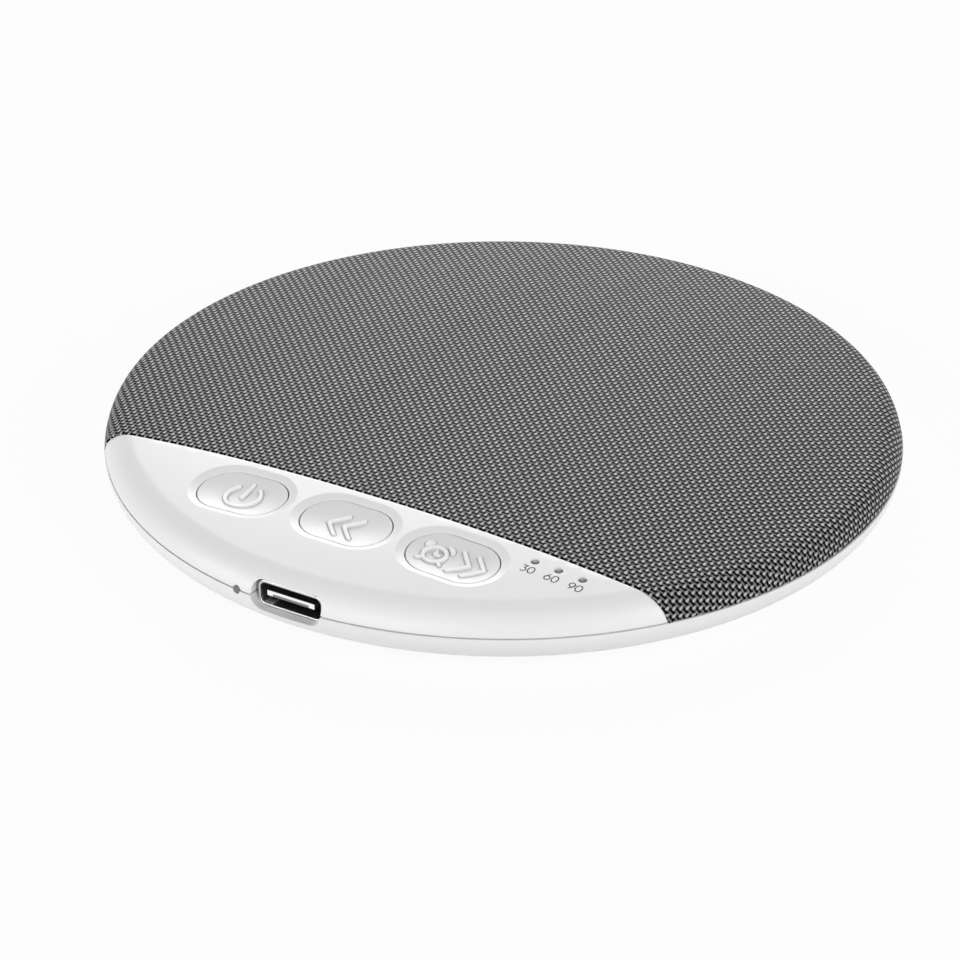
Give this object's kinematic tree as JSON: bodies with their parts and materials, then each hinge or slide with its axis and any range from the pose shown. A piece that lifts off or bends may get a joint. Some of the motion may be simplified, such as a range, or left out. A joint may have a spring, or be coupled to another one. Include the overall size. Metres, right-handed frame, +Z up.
{
  "type": "white noise sound machine",
  "caption": "Slim round sleep sound machine: a low domed disc with a cloth-covered speaker grille, a white control panel with dished keys and timer lights, and a charging socket in its rim.",
  "frame": {"origin": "centre of the base, on the plane the feet stand on", "axes": "+Z up through the middle of the dome; -Y towards the control panel and the charging socket; +X along the straight edge of the grille, towards the timer lights"},
  "size_m": [0.105, 0.1048, 0.0112],
  "materials": {
    "white_case": "satin white moulded ABS",
    "white_keys": "satin white moulded ABS",
    "grille_cloth": "plain woven charcoal cloth",
    "grille_plate": "moulded black ABS",
    "black_plastic": "moulded black plastic",
    "board": "green solder mask",
    "ceramic": "fired ceramic",
    "steel": "plated steel",
    "dark_steel": "black coated steel",
    "magnet": "nickel plated magnet",
    "copper": "enamelled copper wire",
    "cone": "pressed black film",
    "rubber": "black rubber",
    "foam": "closed cell foam",
    "feet": "pale grey rubber",
    "lens": "clear moulded polycarbonate",
    "led": "light emitting diode",
    "cell": "laminated foil pouch",
    "lead": "insulated wire, red and black"
  },
  "bodies": {
    "housing": {"bottom_shell": "white_case", "top_shell": "white_case", "grille_plate": "grille_plate", "grille_cloth": "grille_cloth", "switch_bodies": "steel", "main_board": "board", "controller_chip": "black_plastic", "memory_chip": "black_plastic", "amplifier_chip": "black_plastic", "board_capacitors": "ceramic", "usb_shell": "steel", "usb_insert": "black_plastic", "timer_leds": "led", "timer_light_guides": "lens", "charge_led": "led", "charge_light_guide": "lens", "speaker_frame": "dark_steel", "speaker_yoke": "steel", "speaker_magnet": "magnet", "pole_plate": "steel", "cone_surround": "rubber", "speaker_gasket": "foam", "battery_cell": "cell", "battery_pad": "foam", "battery_leads": "lead", "speaker_leads": "lead", "case_screws": "dark_steel", "board_screws": "dark_steel", "rubber_feet": "feet"},
    "power_button": {"power_key": "white_keys", "power_plunger": "black_plastic"},
    "previous_button": {"previous_key": "white_keys", "previous_plunger": "black_plastic"},
    "timer_button": {"timer_key": "white_keys", "timer_plunger": "black_plastic"},
    "diaphragm": {"speaker_cone": "cone", "voice_coil": "copper"}
  },
  "joints": [
    {"name": "power_press", "type": "slide", "parent": "housing", "child": "power_button", "axis": [0, 0, -1], "range_m": [0, 0.0004], "stiffness_N_per_m": 1500, "springref_m": -0.0004},
    {"name": "previous_press", "type": "slide", "parent": "housing", "child": "previous_button", "axis": [0, 0, -1], "range_m": [0, 0.0004], "stiffness_N_per_m": 1500, "springref_m": -0.0004},
    {"name": "timer_press", "type": "slide", "parent": "housing", "child": "timer_button", "axis": [0, 0, -1], "range_m": [0, 0.0004], "stiffness_N_per_m": 1500, "springref_m": -0.0004},
    {"name": "cone_stroke", "type": "slide", "parent": "housing", "child": "diaphragm", "axis": [0, 0, 1], "range_m": [-0.0003, 0.0003], "stiffness_N_per_m": 1200, "deforming": ["cone_surround"]}
  ]
}
